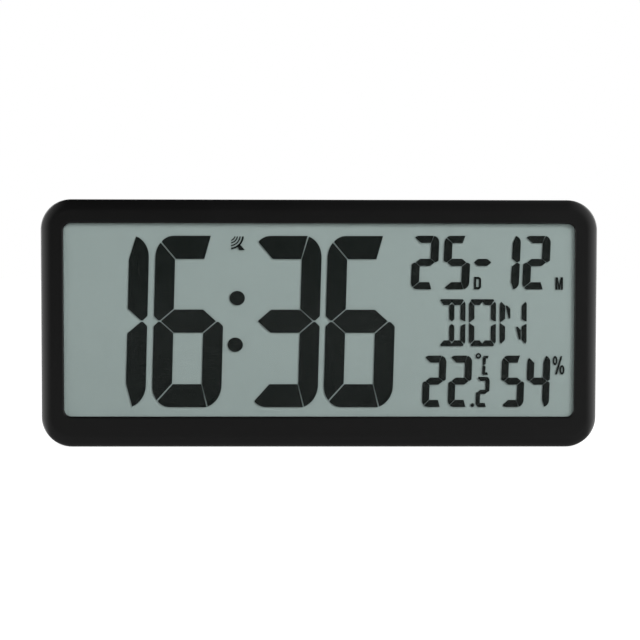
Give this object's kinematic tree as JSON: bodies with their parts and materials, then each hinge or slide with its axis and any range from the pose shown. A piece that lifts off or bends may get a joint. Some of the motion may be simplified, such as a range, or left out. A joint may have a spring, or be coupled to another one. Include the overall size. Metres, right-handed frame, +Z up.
{
  "type": "radio-controlled clock",
  "caption": "Wide, flat digital clock with a large liquid crystal display in a rounded black case, keyholes for a wall and a fold-out stand at the back.",
  "frame": {"origin": "middle of the case's underside, on the surface that the clock stands on", "axes": "+X along the clock's width, to the right of someone who reads it; +Y from the display to the back; +Z up"},
  "size_m": [0.366, 0.028, 0.163],
  "materials": {
    "black_plastic": "satin",
    "rear_plastic": "matte",
    "button_plastic": "satin",
    "tray_plastic": "satin",
    "clear_cover": "gloss",
    "cell_glass": "gloss",
    "front_film": "satin",
    "reflector_film": "satin",
    "circuit_board": "satin",
    "dark_epoxy": "satin",
    "rubber": "matte",
    "steel": "satin",
    "brass": "satin",
    "ferrite": "matte",
    "copper_wire": "satin",
    "battery_wrap": "gloss",
    "red_wire": "satin",
    "black_wire": "satin",
    "grey_cable": "satin"
  },
  "bodies": {
    "case": {"front_housing": "black_plastic", "display_window": "clear_cover", "lcd_front_polariser": "front_film", "lcd_front_glass": "cell_glass", "lcd_rear_glass": "cell_glass", "lcd_reflector": "reflector_film", "connector_strip": "rubber", "display_tray": "tray_plastic", "main_board": "circuit_board", "controller_chip": "dark_epoxy", "clock_crystal": "steel", "mode_switch": "dark_epoxy", "up_switch": "dark_epoxy", "down_switch": "dark_epoxy", "alarm_switch": "dark_epoxy", "wave_switch": "dark_epoxy", "ferrite_rod": "ferrite", "aerial_coil": "copper_wire", "left_rod_clip": "tray_plastic", "right_rod_clip": "tray_plastic", "receiver_board": "circuit_board", "sounder_disc": "brass", "climate_sensor": "circuit_board", "rear_cover": "rear_plastic", "upper_battery": "battery_wrap", "lower_battery": "battery_wrap", "positive_contact": "steel", "negative_contact": "steel", "bridge_contact": "steel", "cover_screw_1": "steel", "cover_screw_2": "steel", "cover_screw_3": "steel", "cover_screw_4": "steel", "cover_screw_5": "steel", "tray_screw_1": "steel", "tray_screw_2": "steel", "tray_screw_3": "steel", "tray_screw_4": "steel", "board_screw_1": "steel", "board_screw_2": "steel", "red_battery_wire": "red_wire", "black_battery_wire": "black_wire", "receiver_cable": "grey_cable", "sounder_cable": "grey_cable", "sensor_cable": "grey_cable"},
    "stand": {"stand": "rear_plastic", "stand_pad": "rubber"},
    "door": {"battery_door": "rear_plastic"},
    "mode_key": {"mode_button": "button_plastic", "mode_plunger": "button_plastic"},
    "up_key": {"up_button": "button_plastic", "up_plunger": "button_plastic"},
    "down_key": {"down_button": "button_plastic", "down_plunger": "button_plastic"},
    "alarm_key": {"alarm_button": "button_plastic", "alarm_plunger": "button_plastic"},
    "wave_key": {"wave_button": "button_plastic", "wave_plunger": "button_plastic"}
  },
  "joints": [
    {"name": "stand_hinge", "type": "hinge", "parent": "case", "child": "stand", "pos_m": [0, 0.01125, 0.106], "axis": [1, 0, 0], "range_deg": [0, 32]},
    {"name": "door_hinge", "type": "hinge", "parent": "case", "child": "door", "pos_m": [0.112, 0.014, 0.0451], "axis": [-1, 0, 0], "range_deg": [0, 75]},
    {"name": "mode_press", "type": "slide", "parent": "case", "child": "mode_key", "axis": [0, -1, 0], "range_m": [0, 0.0006], "stiffness_N_per_m": 400},
    {"name": "up_press", "type": "slide", "parent": "case", "child": "up_key", "axis": [0, -1, 0], "range_m": [0, 0.0006], "stiffness_N_per_m": 400},
    {"name": "down_press", "type": "slide", "parent": "case", "child": "down_key", "axis": [0, -1, 0], "range_m": [0, 0.0006], "stiffness_N_per_m": 400},
    {"name": "alarm_press", "type": "slide", "parent": "case", "child": "alarm_key", "axis": [0, -1, 0], "range_m": [0, 0.0006], "stiffness_N_per_m": 400},
    {"name": "wave_press", "type": "slide", "parent": "case", "child": "wave_key", "axis": [0, -1, 0], "range_m": [0, 0.0006], "stiffness_N_per_m": 400}
  ]
}
